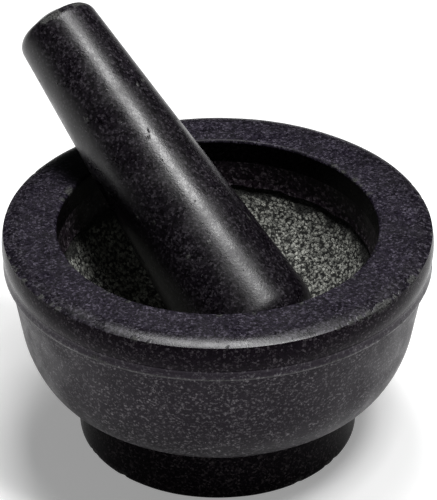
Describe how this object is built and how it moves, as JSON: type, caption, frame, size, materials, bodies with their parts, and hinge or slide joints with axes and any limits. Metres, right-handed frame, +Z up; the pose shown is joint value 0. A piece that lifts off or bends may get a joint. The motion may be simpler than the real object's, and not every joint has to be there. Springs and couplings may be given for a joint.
{
  "type": "molcajete",
  "caption": "Turned dark granite molcajete: a round footed mortar with a banded rim and a pecked bowl, and a loose tapered pestle leaning in it.",
  "frame": {"origin": "centre of the underside of the mortar's foot", "axes": "+Z up along the mortar's turning axis; the pestle leans towards the back left, 134 degrees round from +X"},
  "size_m": [0.2, 0.2, 0.1842],
  "materials": {
    "mortar_stone": "polished",
    "pestle_stone": "satin"
  },
  "bodies": {
    "mortar": {"mortar": "mortar_stone"},
    "pestle": {"pestle": "pestle_stone"}
  },
  "joints": [
    {"name": "pestle_lift", "type": "slide", "parent": "mortar", "child": "pestle", "axis": [0, 0, 1], "range_m": [0, 0.15]}
  ]
}
